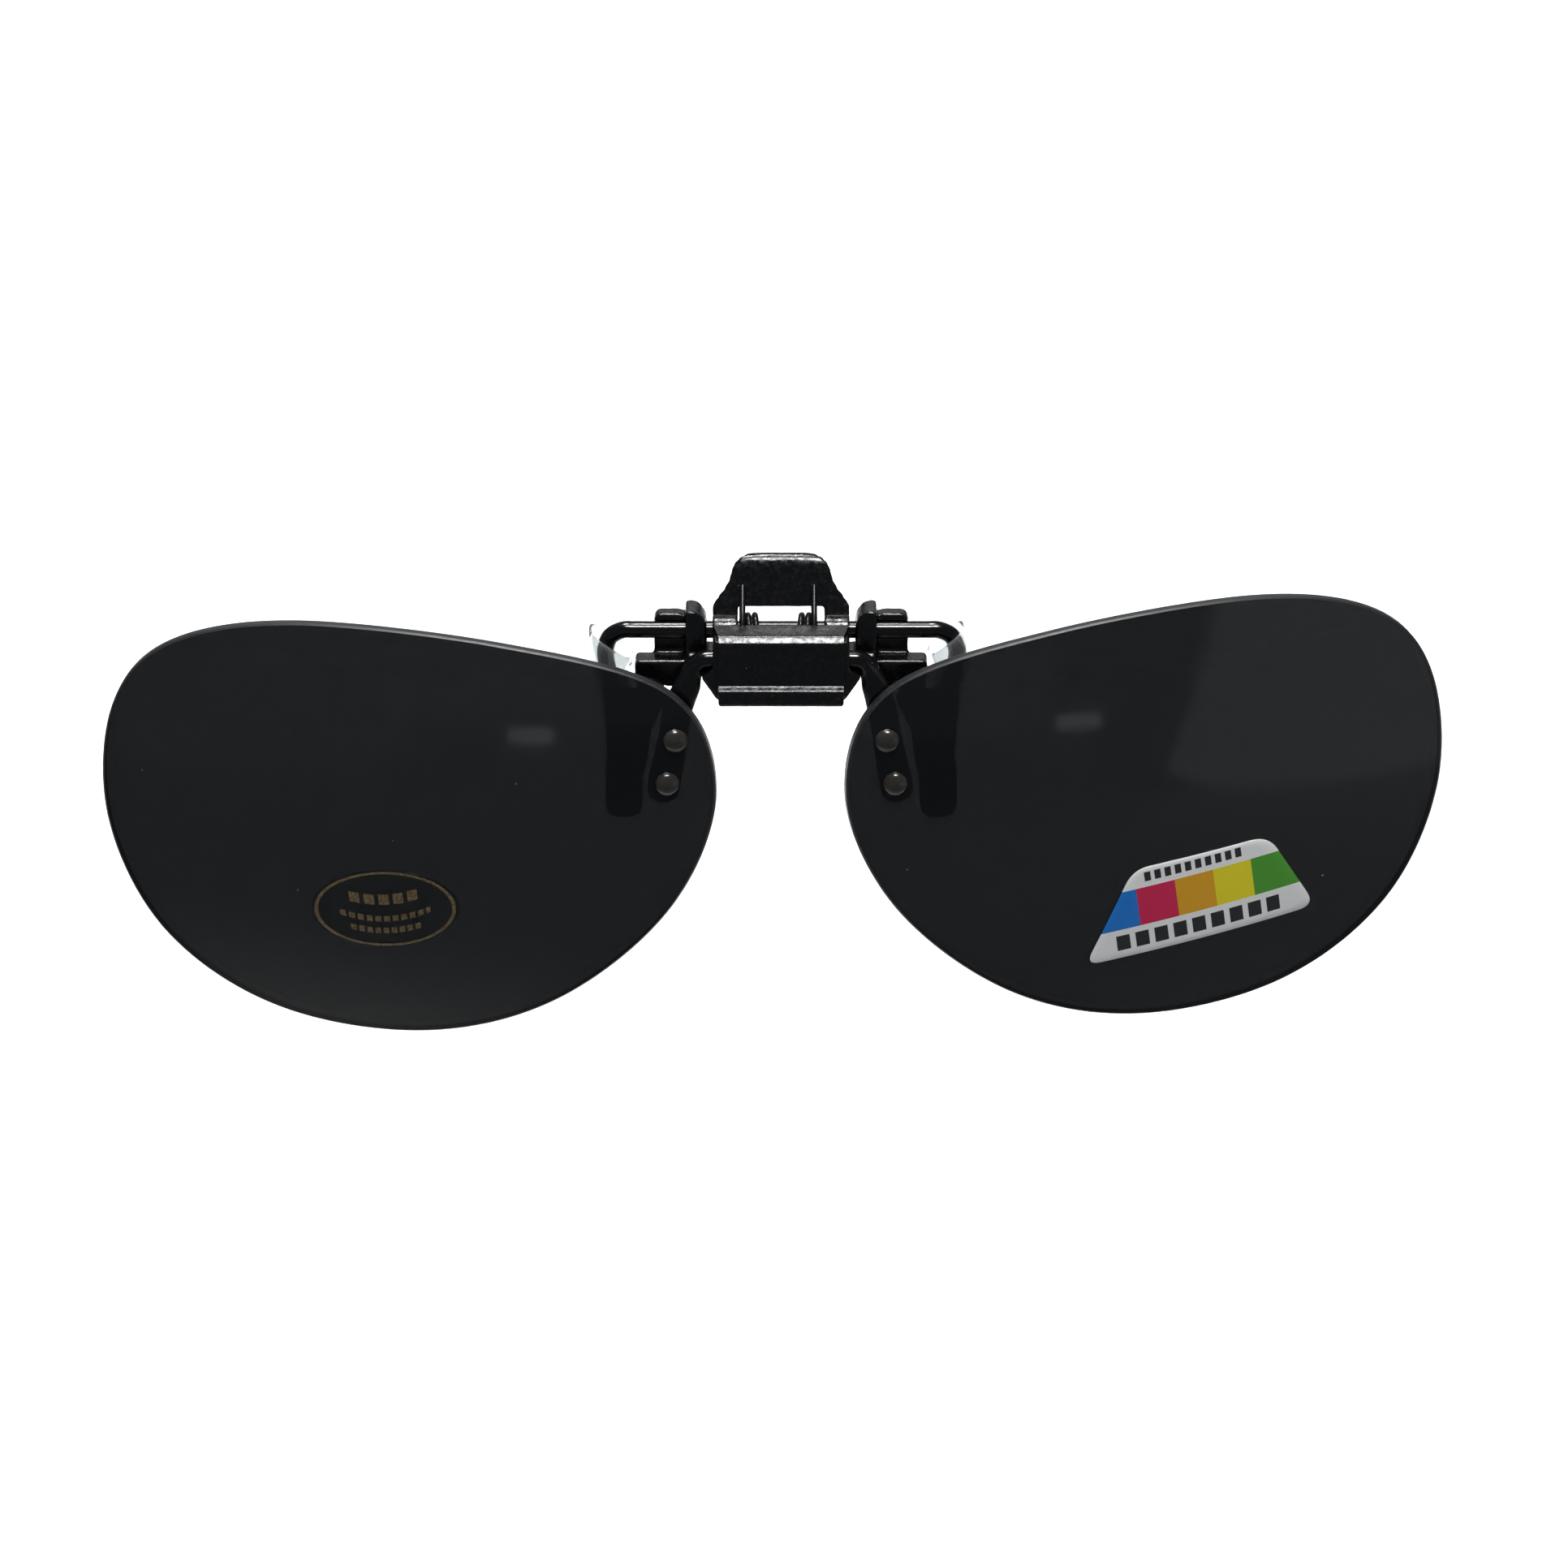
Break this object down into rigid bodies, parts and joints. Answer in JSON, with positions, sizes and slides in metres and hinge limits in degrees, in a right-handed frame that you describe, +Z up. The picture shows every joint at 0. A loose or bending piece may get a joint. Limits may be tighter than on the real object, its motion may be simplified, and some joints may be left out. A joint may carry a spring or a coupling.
{
  "type": "clip-on flip lenses",
  "caption": "Pair of tinted lenses on a bent wire that flips up in a small hinge box, with a sprung clip behind it that grips spectacles at the bridge.",
  "frame": {"origin": "grip point: on the centre plane, midway between the front pads and the rear sleeves and half-way down them", "axes": "+X to the right seen from the front, -Y towards the front (out of the cover), +Z up"},
  "size_m": [0.1315, 0.0159, 0.0477],
  "materials": {
    "black_paint": "gloss black enamel over rough castings and wire",
    "black_vinyl": "soft satin black vinyl",
    "clear_vinyl": "clear soft vinyl, streaked",
    "spring_steel": "blackened spring wire",
    "lens_grey": "polished dark grey lens",
    "smoky_nylon": "smoky olive-grey nylon",
    "clear_film": "clear film with a bronze ring",
    "printed_film": "satin white printed film"
  },
  "bodies": {
    "base": {"hinge_cover": "black_paint", "base_bracket": "black_paint", "detent_spring": "spring_steel", "torsion_spring": "spring_steel", "front_jaw_left": "black_paint", "front_jaw_right": "black_paint", "front_pad_left": "black_vinyl", "front_pad_right": "black_vinyl"},
    "lever": {"thumb_lever": "black_paint", "jaw_wire": "black_paint", "rear_sleeve_left": "clear_vinyl", "rear_sleeve_right": "clear_vinyl"},
    "lenses": {"lens_wire": "black_paint", "lens_left": "lens_grey", "lens_right": "lens_grey", "rivet_left_upper": "smoky_nylon", "rivet_left_lower": "smoky_nylon", "rivet_right_upper": "smoky_nylon", "rivet_right_lower": "smoky_nylon", "washer_left_upper": "clear_vinyl", "washer_left_lower": "clear_vinyl", "washer_right_upper": "clear_vinyl", "washer_right_lower": "clear_vinyl", "label_oval": "clear_film", "label_band": "printed_film"}
  },
  "joints": [
    {"name": "lens_flip", "type": "hinge", "parent": "base", "child": "lenses", "pos_m": [0, -0.00265, 0.01115], "axis": [-1, 0, 0], "range_deg": [0, 95]},
    {"name": "lever_squeeze", "type": "hinge", "parent": "base", "child": "lever", "pos_m": [0, 0.00035, 0.0129], "axis": [1, 0, 0], "range_deg": [0, 25], "stiffness_Nm_per_rad": 0.02, "springref_deg": -51.57, "deforming": ["torsion_spring"]}
  ]
}
